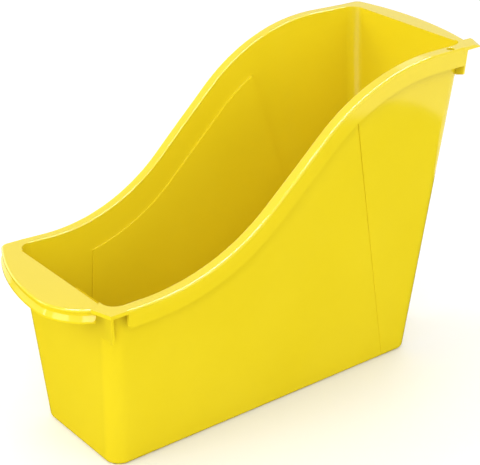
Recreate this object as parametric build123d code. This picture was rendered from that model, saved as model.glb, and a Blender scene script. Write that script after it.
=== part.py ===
from build123d import *
from math import asin, atan2, cos, hypot, pi, sin, sqrt
import os

os.makedirs("parts", exist_ok=True)

# An open-topped book and magazine bin, moulded in one shade of glossy plastic.
# The low end is the front, at -Y. The side with the interlocking tabs is +X.
# The origin is the middle of the underside. All lengths are in millimetres.

# ---- driving dimensions ----
base_length = 288.0
base_half_front = 48.8
base_half_rear = 33.1
front_height = 134.0
rear_height = 259.0

# outward lean of each wall, in millimetres for each millimetre of height
side_draft = 0.1217
front_draft = 0.0734
rear_draft = 0.0650

# the side walls swell gently below the slope of the rim
swell_at_top = 3.4
swell_centre = -40.0
swell_reach = 95.0

wall = 2.2
floor_thickness = 2.6
corner_radius = 12.0
foot_radius = 4.0

# the rim line: flat, a hollow arc, a straight slope, a crowning arc, flat
low_arc_start = -126.0
low_arc_radius = 147.0
high_arc_end = 124.0
high_arc_radius = 149.0

rim_overhang = 7.1
rim_thickness = 2.0
rim_step = 0.8
rim_edge = 1.5
inner_edge = 0.8
skirt_depth = 14.0
skirt_thickness = 1.8

lip_edge = 1.5
lip_ease = 1.3
lip_ease_reach = 54.0
grip_apex = -182.5
grip_apex_x = 18.5
grip_left_radius = 188.0
grip_right_radius = 42.2
grip_right_end = 56.4
grip_depth = 10.0
grip_corner = 7.0
grip_recess = 1.3
flare_out = 0.8
flare_top = 5.0
flare_foot = 1.4

rear_lip_apex = 176.2
rear_lip_apex_x = -16.0
rear_lip_left_radius = 222.0
rear_lip_right_radius = 260.0
rear_lip_right_end = 56.8
rear_lip_corner = 6.0
rear_skirt_depth = 13.0

front_seam = -142.5
rear_seam = 150.5
tab_front_left = -161.8
tab_front_right = -156.8
tab_step_x = 50.0
tab_step_y = -159.0
rear_tab_far = 170.6
rear_tab_corner = (70.2, 168.2)
rear_tab_bend_start = (59.4, 170.2)
rear_tab_bend_end = (69.1, 163.3)
rear_tab_tip = 0.5
skirt_rear_end = 153.2
skirt_corner_radius = 4.0
peg_plate_start = 126.0
peg_hole_radius = 3.0
peg_hole_mouth = 0.3
peg_hole_y = 140.6

web_thickness = 1.8
front_web_reach = 67.4
front_web_bottom = 109.0
rear_web_bottom = 238.4
rear_web_fall = 2.2

# the stepped panel in each side wall
panel_front_top = -92.5
panel_front_foot = -109.5
panel_rear_top = 58.0
panel_rear_foot = 115.5
panel_drop = 8.0
panel_lower = 12.8
panel_step_low = 0.25
panel_step_rise = 0.0080
pocket_step_rise = 0.0025
panel_inset = 3.0

side_wall_end = 131.0
tall = 280.0
wide = 120.0
station_gap = 20

# ---- worked-out sizes ----
half_length = base_length / 2
side_taper = (base_half_rear - base_half_front) / base_length
base_half_middle = (base_half_front + base_half_rear) / 2
front_inner_edge = -half_length - front_draft * front_height + wall
rear_inner_edge = half_length + rear_draft * rear_height - wall


def half_width(y, z):
    """Half the outer width of the bin at length y and height z."""
    along = (y - swell_centre) / swell_reach
    swell = swell_at_top * cos(along * pi / 2) ** 2 if abs(along) < 1 else 0.0
    return base_half_middle + side_taper * y + side_draft * z + swell * z / tall


def side_curve(side, offset, z):
    """The line of a side wall at height z, moved out by offset, from front to rear."""
    stations = range(-220, 221, station_gap)
    points = [(side * (half_width(y, z) + offset), y) for y in stations]
    return Spline(*points)


def side_strip(low, high, bottom, top):
    """A block between two side curves. low and high are the curves, as (side, offset)
    pairs, at the bottom and at the top."""
    sections = []
    for z, (first, second) in ((bottom, low), (top, high)):
        one = side_curve(*first, z)
        other = side_curve(*second, z)
        edges = [one, Line(one @ 1, other @ 1), other, Line(other @ 0, one @ 0)]
        sections.append(Plane.XY.offset(z) * Face(Wire(edges)))
    return loft(sections, ruled=True)


def front_face(z):
    return -half_length - front_draft * z


def rear_face(z):
    return half_length + rear_draft * z


def between_ends(inset, bottom, top):
    """Everything between the planes of the two end walls, moved in by inset."""
    corners = [
        (front_face(bottom) + inset, bottom),
        (rear_face(bottom) - inset, bottom),
        (rear_face(top) - inset, top),
        (front_face(top) + inset, top),
    ]
    face = Plane.YZ.offset(-wide) * Polygon(*corners, align=None)
    return extrude(face, amount=2 * wide, dir=(1, 0, 0))


def tapered_block(inset, bottom, top, radius):
    """The bin's body as a solid block, with its four walls moved in by inset."""
    across = ((-1, -inset), (1, -inset))
    block = side_strip(across, across, bottom, top) & between_ends(inset, bottom, top)
    uprights = []
    for e in block.edges():
        box = e.bounding_box()
        if box.size.Z > (top - bottom) / 2 and abs((e @ 0.5).X) > 20:
            uprights.append(e)
    return fillet(uprights, radius)


def side_slab(side, inner, outer, y_start, y_end, bottom=0.0, top=tall):
    """A slab along one side. inner and outer are offsets from the wall's outer face,
    each a pair: the offset at the base, and its growth for each millimetre of height."""
    low = [(side, base + growth * bottom) for base, growth in (inner, outer)]
    high = [(side, base + growth * top) for base, growth in (inner, outer)]
    return side_strip(low, high, bottom, top) & slab_between(y_start, y_end)


def parallel(offset):
    return (offset, 0.0)


def rim_line(drop, lift, y_start, y_end):
    """Edges of the rim line in the YZ plane, drop below it and raised by lift."""
    low_centre = (low_arc_start, front_height + low_arc_radius)
    high_centre = (high_arc_end, rear_height - high_arc_radius)
    run = high_centre[0] - low_centre[0]
    rise = high_centre[1] - low_centre[1]
    slope = atan2(rise, run) + asin((low_arc_radius + high_arc_radius) / hypot(run, rise))
    low_radius = low_arc_radius + drop
    high_radius = high_arc_radius - drop

    def low_point(angle):
        return (low_centre[0] + low_radius * sin(angle), low_centre[1] - low_radius * cos(angle) + lift)

    def high_point(angle):
        return (high_centre[0] - high_radius * sin(angle), high_centre[1] + high_radius * cos(angle) + lift)

    return [
        Line((y_start, front_height - drop + lift), low_point(0)),
        ThreePointArc(low_point(0), low_point(slope / 2), low_point(slope)),
        Line(low_point(slope), high_point(slope)),
        ThreePointArc(high_point(slope), high_point(slope / 2), high_point(0)),
        Line(high_point(0), (y_end, rear_height - drop + lift)),
    ]


def rim_band(top_drop, top_lift, low_drop, low_lift):
    """A band that follows the rim line, as wide as the whole bin."""
    start = -210.0
    end = 210.0
    upper = rim_line(top_drop, top_lift, start, end)
    lower = rim_line(low_drop, low_lift, start, end)
    front_side = Line(lower[0] @ 0, upper[0] @ 0)
    rear_side = Line(upper[-1] @ 1, lower[-1] @ 1)
    face = Face(Wire(upper + [rear_side] + lower + [front_side]))
    return extrude(Plane.YZ.offset(-wide) * face, amount=2 * wide, dir=(1, 0, 0))


def below_rim_line(drop, lift, bottom):
    """Everything between the rim line, moved down, and a level bottom."""
    upper = rim_line(drop, lift, -210.0, 210.0)
    rear_corner = (210.0, bottom)
    front_corner = (-210.0, bottom)
    edges = upper + [
        Line(upper[-1] @ 1, rear_corner),
        Line(rear_corner, front_corner),
        Line(front_corner, upper[0] @ 0),
    ]
    return extrude(Plane.YZ.offset(-wide) * Face(Wire(edges)), amount=2 * wide, dir=(1, 0, 0))


def slab_between(y_start, y_end, x_start=-wide, x_end=wide):
    """Everything between two lengths, for sharing a ring out between pieces."""
    box = Box(x_end - x_start, y_end - y_start, tall + 20, align=(Align.MIN, Align.MIN, Align.MIN))
    return Pos(x_start, y_start, -10) * box


def lip_face(lip, inset, z):
    """The outline of an end lip at height z, moved in by inset: two arcs that meet at
    its far point, a rounded left corner, and a square cut at its right end."""
    seam = lip["seam"]
    outward = 1 if lip["apex"] > 0 else -1
    far = lip["apex"] - outward * inset
    middle = lip["apex_x"]
    right_end = lip["right_end"]
    left_end = -(half_width(seam, z) + rim_overhang - inset)

    def arc_point(radius, x):
        reach = radius - inset
        return (x, far - outward * (reach - sqrt(reach * reach - (x - middle) ** 2)))

    left_point = arc_point(lip["left_radius"], left_end)
    left_middle = arc_point(lip["left_radius"], (left_end + middle) / 2)
    right_point = arc_point(lip["right_radius"], right_end)
    right_middle = arc_point(lip["right_radius"], (right_end + middle) / 2)
    outline = [
        Line((left_end, seam), (right_end, seam)),
        Line((right_end, seam), right_point),
        ThreePointArc(right_point, right_middle, (middle, far)),
        ThreePointArc((middle, far), left_middle, left_point),
        Line(left_point, (left_end, seam)),
    ]
    face = Sketch() + Face(Wire(outline))
    left_vertex = face.vertices().sort_by_distance((*left_point, 0))[0]
    return fillet(left_vertex, lip["corner"] - inset)


def lip_layer(lip, low_inset, high_inset, bottom, top):
    """A layer of an end lip between two heights, with its own inset at each."""
    low = Plane.XY.offset(bottom) * lip_face(lip, low_inset, bottom)
    high = Plane.XY.offset(top) * lip_face(lip, high_inset, top)
    return loft([low, high], ruled=True)


# ---- the shell ----
outer_block = tapered_block(0.0, 0.0, tall, corner_radius)
foot_edges = [e for e in outer_block.edges() if e.bounding_box().max.Z < 0.01]
outer_block = fillet(foot_edges, foot_radius)
cavity = tapered_block(wall, floor_thickness, tall + 5, corner_radius - wall)
cavity_edges = [e for e in cavity.edges() if e.bounding_box().max.Z < floor_thickness + 0.01]
cavity = fillet(cavity_edges, foot_radius - 1)
floor_plate = tapered_block(foot_radius + 1.5, 0.0, floor_thickness, corner_radius - foot_radius)


ring = (outer_block - cavity - floor_plate) & below_rim_line(rim_thickness, 0.0, -5)
front_wall = ring & slab_between(-210, -side_wall_end)
rear_wall = ring & slab_between(side_wall_end, 210)
side_walls = ring & slab_between(-side_wall_end, side_wall_end)


def side_panel_prism(bottom, inset):
    """The outline of the stepped panel, through the whole bin from side to side."""
    corners = [
        (panel_front_foot + inset, 0.0),
        (panel_front_top + inset, front_height),
        (panel_front_top + inset, tall),
        (panel_rear_top, tall),
        (panel_rear_top, rear_height - 40),
        (panel_rear_foot, 0.0),
    ]
    face = Polygon(*corners, align=None)
    prism = extrude(Plane.YZ.offset(-wide) * face, amount=2 * wide, dir=(1, 0, 0))
    return prism & below_rim_line(panel_drop + inset / 3, -panel_lower, bottom)


def side_wall(side):
    """One side wall, with its panel stepped inwards as it rises."""
    start = -side_wall_end
    end = side_wall_end
    half = slab_between(start, end, 0, wide) if side > 0 else slab_between(start, end, -wide, 0)
    step = (-panel_step_low, -pocket_step_rise)
    inner_step = (-panel_step_low - wall, -panel_step_rise)
    pocket = side_panel_prism(-5, 0.0) & side_slab(side, step, parallel(3.0), start, end)
    pad = side_panel_prism(3.0, panel_inset) & side_slab(side, inner_step, parallel(-wall + 0.5), start, end)
    return (side_walls & half) - pocket + pad


left_wall = side_wall(-1)
right_wall = side_wall(1)

# ---- rims along the sides ----
outer_rim = parallel(rim_overhang)
inner_skirt = parallel(rim_overhang - skirt_thickness)
reach_in = parallel(-corner_radius - 8)


def rim_plate(side, lift):
    slab = side_slab(side, reach_in, outer_rim, front_seam, rear_seam)
    band = rim_band(0.0, lift, rim_thickness, 0.0)
    return (band & slab) - cavity


def rim_skirt(side, y_end):
    slab = side_slab(side, inner_skirt, outer_rim, front_seam, y_end)
    return rim_band(rim_thickness, 0.0, skirt_depth, 0.0) & slab


def rim_top_edges(plate, offset, lift):
    """The edges of a rim plate that lie on the rim line, offset from the wall."""
    line = Wire(rim_line(0.0, lift, -210.0, 210.0))
    picked = []
    for e in plate.edges():
        middle = e @ 0.5
        if e.length < 12 or abs(e.tangent_at(0.5).X) > 0.5:
            continue
        sideways = abs(middle.X) - half_width(middle.Y, middle.Z) - offset
        if abs(sideways) < 0.2 and line.distance_to(Vector(middle.Y, middle.Z, 0)) < 0.3:
            picked.append(e)
    return picked


left_rim = rim_plate(-1, 0.0)
left_rim = fillet(rim_top_edges(left_rim, rim_overhang, 0.0), rim_edge)
left_rim = fillet(rim_top_edges(left_rim, -wall, 0.0), inner_edge)
right_plate = rim_plate(1, rim_step)
right_plate = fillet(rim_top_edges(right_plate, rim_overhang, rim_step), rim_edge)
right_plate = fillet(rim_top_edges(right_plate, -wall, rim_step), inner_edge)

# the rear end of the right rim carries the peg hole
right_rim = right_plate & slab_between(-210, peg_plate_start)
peg_hole_x = half_width(peg_hole_y, rear_height) + (rim_overhang - skirt_thickness) / 2
peg_hole = Pos(peg_hole_x, peg_hole_y, rear_height) * Cylinder(peg_hole_radius, 12)
peg_plate = (right_plate & slab_between(peg_plate_start, 210)) - peg_hole
mouth = peg_plate.edges().filter_by(GeomType.CIRCLE).sort_by(Axis.Z)[-1]
peg_plate = fillet(mouth, peg_hole_mouth)

left_skirt = rim_skirt(-1, rear_seam)
right_skirt = rim_skirt(1, skirt_rear_end)
# the lower front corner of the right skirt is rounded, beside the open recess
skirt_corner = [
    e for e in right_skirt.edges()
    if e.bounding_box().size.X > 1 and e.bounding_box().size.Z < 0.5 and (e @ 0.5).Y < front_seam + 0.1
]
skirt_corner = sorted(skirt_corner, key=lambda e: (e @ 0.5).Z)[:1]
right_skirt = fillet(skirt_corner, skirt_corner_radius)

# ---- lips at the two ends ----
front_shape = {
    "apex": grip_apex, "apex_x": grip_apex_x,
    "left_radius": grip_left_radius, "right_radius": grip_right_radius,
    "seam": front_seam, "right_end": grip_right_end, "corner": grip_corner,
}
rear_shape = {
    "apex": rear_lip_apex, "apex_x": rear_lip_apex_x,
    "left_radius": rear_lip_left_radius, "right_radius": rear_lip_right_radius,
    "seam": rear_seam, "right_end": rear_lip_right_end, "corner": rear_lip_corner,
}


def plate_between(corners, bottom, top):
    return extrude(Plane.XY.offset(bottom) * Polygon(*corners, align=None), amount=top - bottom)


# the raised corner tabs take the right ends of both lips
front_tab_edge = half_width(tab_front_right, front_height) + rim_overhang
front_tab_corners = [
    (20.0, front_seam),
    (20.0, front_inner_edge),
    (tab_step_x, front_inner_edge),
    (grip_right_end, tab_step_y),
    (grip_right_end, tab_front_left),
    (front_tab_edge, tab_front_right),
    (half_width(front_seam, front_height) + rim_overhang, front_seam),
]
rear_tab_corners = [
    (20.0, rear_seam),
    (half_width(rear_seam, rear_height) + rim_overhang, rear_seam),
    rear_tab_corner,
    (rear_lip_right_end, rear_tab_far),
    (rear_lip_right_end, rear_inner_edge),
    (20.0, rear_inner_edge),
]
front_tab_space = plate_between(front_tab_corners, 0, tall)
rear_tab_space = plate_between(rear_tab_corners, 0, tall)


def lip_plate(shape, height, tab_space):
    """The flat top of an end lip, rounded along its outer and inner edges."""
    plate = lip_layer(shape, 0.0, 0.0, height - rim_thickness, height) - cavity - tab_space
    seam = shape["seam"]
    left = -(half_width(seam, height) + rim_overhang)
    rounded = []
    for e in plate.edges():
        box = e.bounding_box()
        middle = e @ 0.5
        if box.min.Z < height - 0.01 or middle.X > shape["right_end"] - 0.3:
            continue
        if abs(middle.Y - seam) < 0.2 or box.size.X + box.size.Y < 1:
            continue
        if abs(middle.Y) > abs(seam) + 14 or middle.X < left + 6:
            rounded.append(e)
    return fillet(rounded, lip_edge)


def lip_skirt(shape, layers):
    """The wall that hangs from an end lip. layers lists (inset, height) pairs."""
    skirt = None
    for (low_inset, bottom), (high_inset, top) in zip(layers, layers[1:]):
        layer = lip_layer(shape, low_inset, high_inset, bottom, top)
        layer = layer - lip_layer(shape, low_inset + skirt_thickness, high_inset + skirt_thickness, bottom, top)
        skirt = layer if skirt is None else skirt + layer
    seam = shape["seam"]
    inner_side = slab_between(-400, seam) if seam > 0 else slab_between(seam, 400)
    return skirt - inner_side


front_lip = lip_plate(front_shape, front_height, front_tab_space)
rear_lip = lip_plate(rear_shape, rear_height, rear_tab_space)

# the front lip's inner edge is eased, so papers slide in without catching
ease_corners = [
    (front_inner_edge - lip_ease, front_height),
    (front_inner_edge + 2, front_height + 2),
    (front_inner_edge + 2, front_height - lip_ease),
    (front_inner_edge - 0.1, front_height - lip_ease),
]
ease_face = Plane.YZ.offset(-lip_ease_reach) * Polygon(*ease_corners, align=None)
front_lip = front_lip - extrude(ease_face, amount=lip_ease_reach + tab_step_x, dir=(1, 0, 0))

# the front lip's wall hangs a little inside its edge and flares out at the foot
grip_bottom = front_height - grip_depth
front_skirt = lip_skirt(front_shape, [
    (-flare_out, grip_bottom),
    (-flare_out, grip_bottom + flare_foot),
    (grip_recess, grip_bottom + flare_top),
    (grip_recess, front_height - rim_thickness),
]) - front_tab_space
rear_skirt = lip_skirt(rear_shape, [
    (0.0, rear_height - rear_skirt_depth),
    (0.0, rear_height - rim_thickness),
]) - rear_tab_space

# ---- raised corner tabs on the right, and the webs under them ----
front_tab_bottom = front_height - rim_thickness
front_tab = plate_between(front_tab_corners, front_tab_bottom, front_height + rim_step) - cavity
rear_tab_bottom = rear_height - rim_thickness
rear_tab_top = rear_height + rim_step
rear_tab = plate_between(rear_tab_corners, rear_tab_bottom, rear_tab_top) - cavity

# the rear tab's outer corner is bevelled down to a thin tip
bevel_start = Vector(rear_tab_bend_start[0], rear_tab_bend_start[1], rear_tab_top)
bevel_end = Vector(rear_tab_bend_end[0], rear_tab_bend_end[1], rear_tab_top)
tip = Vector(rear_tab_corner[0], rear_tab_corner[1], rear_tab_bottom + rear_tab_tip)
bevel_normal = (tip - bevel_start).cross(bevel_end - bevel_start).normalized()
if bevel_normal.Z < 0:
    bevel_normal = -bevel_normal
bevel_plane = Plane(origin=bevel_start, x_dir=bevel_end - bevel_start, z_dir=bevel_normal)
above_bevel = bevel_plane * Box(60, 60, 20, align=(Align.CENTER, Align.CENTER, Align.MIN))
rear_tab = rear_tab - above_bevel

# webs across the two right corners, from the wall out under the tabs
sections = []
for z, reach in ((front_web_bottom, front_web_reach - 1.2), (front_tab_bottom, front_web_reach)):
    near = front_face(z)
    corners = [(30, near + web_thickness), (30, near), (reach, near), (reach, near + web_thickness)]
    sections.append(Plane.XY.offset(z) * Polygon(*corners, align=None))
front_web = loft(sections, ruled=True) - outer_block
rear_web_slab = side_slab(1, reach_in, outer_rim, skirt_rear_end, skirt_rear_end + web_thickness)
rear_web_corners = [
    (50.0, rear_web_bottom - rear_web_fall),
    (62.0, rear_web_bottom - rear_web_fall),
    (70.0, rear_web_bottom),
    (wide, rear_web_bottom),
    (wide, rear_tab_bottom),
    (50.0, rear_tab_bottom),
]
rear_web_face = Plane.XZ.offset(-wide * 2) * Polygon(*rear_web_corners, align=None)
rear_web_height = extrude(rear_web_face, amount=4 * wide, dir=(0, -1, 0))
rear_web = (rear_web_slab & rear_web_height) - outer_block

pieces = {
    "floor": floor_plate,
    "front_wall": front_wall,
    "rear_wall": rear_wall,
    "left_wall": left_wall,
    "right_wall": right_wall,
    "left_rim": left_rim,
    "right_rim": right_rim,
    "right_rim_peg_plate": peg_plate,
    "left_rim_skirt": left_skirt,
    "right_rim_skirt": right_skirt,
    "front_grip_lip": front_lip,
    "front_grip_skirt": front_skirt,
    "rear_lip": rear_lip,
    "rear_lip_skirt": rear_skirt,
    "front_corner_tab": front_tab,
    "rear_corner_tab": rear_tab,
    "front_corner_web": front_web,
    "rear_corner_web": rear_web,
}

for name, piece in pieces.items():
    export_step(piece, f"parts/{name}.step")
    print(name, round(piece.volume), len(piece.solids()), piece.is_valid)
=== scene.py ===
import math

import bpy
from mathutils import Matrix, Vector

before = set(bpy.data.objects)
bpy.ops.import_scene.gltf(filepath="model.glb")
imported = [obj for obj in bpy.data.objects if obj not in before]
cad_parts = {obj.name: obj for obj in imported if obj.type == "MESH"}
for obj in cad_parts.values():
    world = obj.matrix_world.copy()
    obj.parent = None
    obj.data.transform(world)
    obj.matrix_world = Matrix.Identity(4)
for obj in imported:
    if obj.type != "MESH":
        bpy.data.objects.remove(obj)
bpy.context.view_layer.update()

FLOOR_SIZE = 12.0
SKY = 0.93
BELOW_HORIZON = 0.03
# hole in a glowing sheet seen only in reflections: the walls mirror dim inside it and bright beyond, a
# painted reflection
REFLECTED_HOLE_LOW = (-0.45, -0.60)
REFLECTED_HOLE_HIGH = (0.316, 0.442)
REFLECTED_HOLE_CORNER = 0.035
LIGHT_AIM = (0, 0, 0.1)
LIGHT_SIZE = 1.0

CAMERA_PLACE = (0.86933, -0.63568, 0.61423)
CAMERA_AIM = (0.02076, -0.01416, 0.13824)
CAMERA_LENS = 119.5

# the place and the power in watts of each soft light
SOFT_LIGHTS = {
    "front_left": ((-1.3, -1.6, 1.2), 13.4),
    "front": ((0.1, -2.0, 1.0), 9.0),
    "front_right": ((1.6, -1.1, 1.5), 11.5),
    "right": ((2.1, 0.6, 1.0), 8.0),
    "rear_left": ((-1.2, 1.4, 1.6), 2.5),
}

# ---- small helpers -------------------------------------------------------


def new_node(tree, kind, place=(0, 0), **settings):
    node = tree.nodes.new(kind)
    node.location = place
    for name, value in settings.items():
        setattr(node, name, value)
    return node


def set_inputs(node, **values):
    for name, value in values.items():
        node.inputs[name.replace("_", " ")].default_value = value


def noise(tree, coords, scale, detail, roughness, stretch=None):
    """A noise texture in metres, with its pattern stretched along an axis if asked."""
    source = coords
    if stretch:
        mapping = new_node(tree, "ShaderNodeMapping")
        mapping.inputs["Scale"].default_value = stretch
        tree.links.new(coords, mapping.inputs["Vector"])
        source = mapping.outputs["Vector"]
    texture = new_node(tree, "ShaderNodeTexNoise")
    set_inputs(texture, Scale=scale, Detail=detail, Roughness=roughness)
    tree.links.new(source, texture.inputs["Vector"])
    return texture.outputs["Fac"]


def spread(tree, value, low, high, from_low=0.3, from_high=0.7):
    """Maps a noise value onto the range low to high."""
    node = new_node(tree, "ShaderNodeMapRange")
    set_inputs(node, From_Min=from_low, From_Max=from_high, To_Min=low, To_Max=high)
    tree.links.new(value, node.inputs["Value"])
    return node.outputs["Result"]


# ---- materials -----------------------------------------------------------


def glossy_yellow():
    """Bright yellow moulded plastic: faint flow marks, fine scuffs and a soft sheen."""
    material = bpy.data.materials.new("glossy_yellow_plastic")
    material.use_nodes = True
    tree = material.node_tree
    shader = tree.nodes["Principled BSDF"]
    set_inputs(shader, IOR=1.49)
    coords = new_node(tree, "ShaderNodeTexCoord").outputs["Object"]

    # colour: the pigment varies very slightly over a few centimetres
    cloud = noise(tree, coords, 14.0, 3.0, 0.5)
    mix = new_node(tree, "ShaderNodeMix", data_type="RGBA")
    mix.inputs[6].default_value = (0.726, 0.569, 0.0120, 1)
    mix.inputs[7].default_value = (0.746, 0.588, 0.0150, 1)
    tree.links.new(spread(tree, cloud, 0.0, 1.0), mix.inputs[0])
    tree.links.new(mix.outputs[2], shader.inputs["Base Color"])

    # gloss: mostly even, a little duller in patches where it has been handled
    patches = noise(tree, coords, 22.0, 4.0, 0.6)
    tree.links.new(spread(tree, patches, 0.06, 0.10), shader.inputs["Roughness"])

    # surface: a gentle waviness from moulding, and a fine grain over it
    wave = noise(tree, coords, 30.0, 1.0, 0.4, stretch=(1.0, 0.6, 0.5))
    grain = noise(tree, coords, 900.0, 2.0, 0.5)
    bump_wave = new_node(tree, "ShaderNodeBump")
    set_inputs(bump_wave, Strength=0.12, Distance=0.0003)
    tree.links.new(wave, bump_wave.inputs["Height"])
    bump_grain = new_node(tree, "ShaderNodeBump")
    set_inputs(bump_grain, Strength=0.12, Distance=0.00004)
    tree.links.new(grain, bump_grain.inputs["Height"])
    tree.links.new(bump_wave.outputs["Normal"], bump_grain.inputs["Normal"])
    tree.links.new(bump_grain.outputs["Normal"], shader.inputs["Normal"])
    return material


yellow = glossy_yellow()
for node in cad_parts.values():
    for material_slot in node.material_slots:
        material_slot.material = yellow

# ---- stage: floor, light and camera --------------------------------------


def plain_floor():
    bpy.ops.mesh.primitive_plane_add(size=FLOOR_SIZE, location=(0, 0, 0))
    floor = bpy.context.object
    floor.name = "pale_floor"
    material = bpy.data.materials.new("pale_floor")
    material.use_nodes = True
    shader = material.node_tree.nodes["Principled BSDF"]
    set_inputs(shader, Base_Color=(0.88, 0.88, 0.88, 1), Roughness=0.9)
    floor.data.materials.append(material)
    # the glossy walls mirror the dim lower half of the world in place of the floor
    floor.visible_glossy = False


def aim_at(thing, place, aim):
    """Places a light or the camera and turns it towards a point."""
    thing.location = place
    thing.rotation_euler = (Vector(aim) - Vector(place)).to_track_quat("-Z", "Y").to_euler()
    bpy.context.scene.collection.objects.link(thing)


def soft_light(name, place, power):
    data = bpy.data.lights.new(name, "AREA")
    data.shape = "SQUARE"
    data.size = LIGHT_SIZE
    data.energy = power
    aim_at(bpy.data.objects.new(name, data), place, LIGHT_AIM)


def world_light(upper, lower):
    """An even white sky, dim below the horizon."""
    world = bpy.data.worlds.new("studio")
    bpy.context.scene.world = world
    world.use_nodes = True
    tree = world.node_tree
    background = tree.nodes["Background"]
    set_inputs(background, Color=(1, 1, 1, 1))
    direction = new_node(tree, "ShaderNodeTexCoord").outputs["Generated"]
    split = new_node(tree, "ShaderNodeSeparateXYZ")
    tree.links.new(direction, split.inputs[0])
    height = spread(tree, split.outputs["Z"], lower, upper, -0.05, 0.05)
    tree.links.new(height, background.inputs["Strength"])


def reflected_sheet(name, points, faces, strength):
    """A bright sheet that shows only in the plastic's reflections."""
    data = bpy.data.meshes.new(name)
    data.from_pydata(points, [], faces)
    sheet = bpy.data.objects.new(name, data)
    bpy.context.scene.collection.objects.link(sheet)
    material = bpy.data.materials.new(name)
    material.use_nodes = True
    shader = material.node_tree.nodes["Principled BSDF"]
    set_inputs(shader, Base_Color=(0, 0, 0, 1), Emission_Color=(1, 1, 1, 1), Emission_Strength=strength)
    data.materials.append(material)
    sheet.visible_camera = False
    sheet.visible_diffuse = False
    sheet.visible_shadow = False


def reflected_surround(low, high, corner, strength):
    """A glowing sheet on the floor, seen only in reflections, with a rounded rectangular hole
    around the bin from low to high: a painted reflection, dim inside the hole and bright beyond it."""
    centres = [
        (high[0] - corner, high[1] - corner),
        (low[0] + corner, high[1] - corner),
        (low[0] + corner, low[1] + corner),
        (high[0] - corner, low[1] + corner),
    ]
    hole = []
    for quarter, (x, y) in enumerate(centres):
        for step in range(9):
            turn = math.pi / 2 * (quarter + step / 8)
            hole.append((x + corner * math.cos(turn), y + corner * math.sin(turn), 0.001))
    outer = [(8 * x, 8 * y, z) for x, y, z in hole]
    count = len(hole)
    faces = [(i, (i + 1) % count, count + (i + 1) % count, count + i) for i in range(count)]
    reflected_sheet("reflected_surround", hole + outer, faces, strength)


def reflected_card(name, centre, half_across, half_along, strength):
    """A flat rectangular card, given by its centre and its two half sides."""
    corners = []
    for across, along in ((-1, -1), (1, -1), (1, 1), (-1, 1)):
        corners.append([c + across * u + along * v for c, u, v in zip(centre, half_across, half_along)])
    reflected_sheet(name, corners, [(0, 1, 2, 3)], strength)


def camera():
    data = bpy.data.cameras.new("camera")
    data.lens = CAMERA_LENS
    data.sensor_width = 36.0
    data.clip_end = 50.0
    cam = bpy.data.objects.new("camera", data)
    aim_at(cam, CAMERA_PLACE, CAMERA_AIM)
    bpy.context.scene.camera = cam


plain_floor()
world_light(SKY, BELOW_HORIZON)
# painted reflection: a glowing sheet mirrored in the walls, bright beyond the dim hole around the bin
reflected_surround(REFLECTED_HOLE_LOW, REFLECTED_HOLE_HIGH, REFLECTED_HOLE_CORNER, 1.0)
reflected_card("overhead_card", (0.0, 0.1, 2.0), (0.30, 0, 0), (0, 1.4, 0), 30.0)
reflected_card("left_card", (-1.8, 0.0, 0.55), (0, 0.9, 0), (0, 0, 0.3), 3.0)
for light_name, (light_place, light_power) in SOFT_LIGHTS.items():
    soft_light(light_name, light_place, light_power)
camera()
bpy.context.scene.view_settings.view_transform = "Standard"
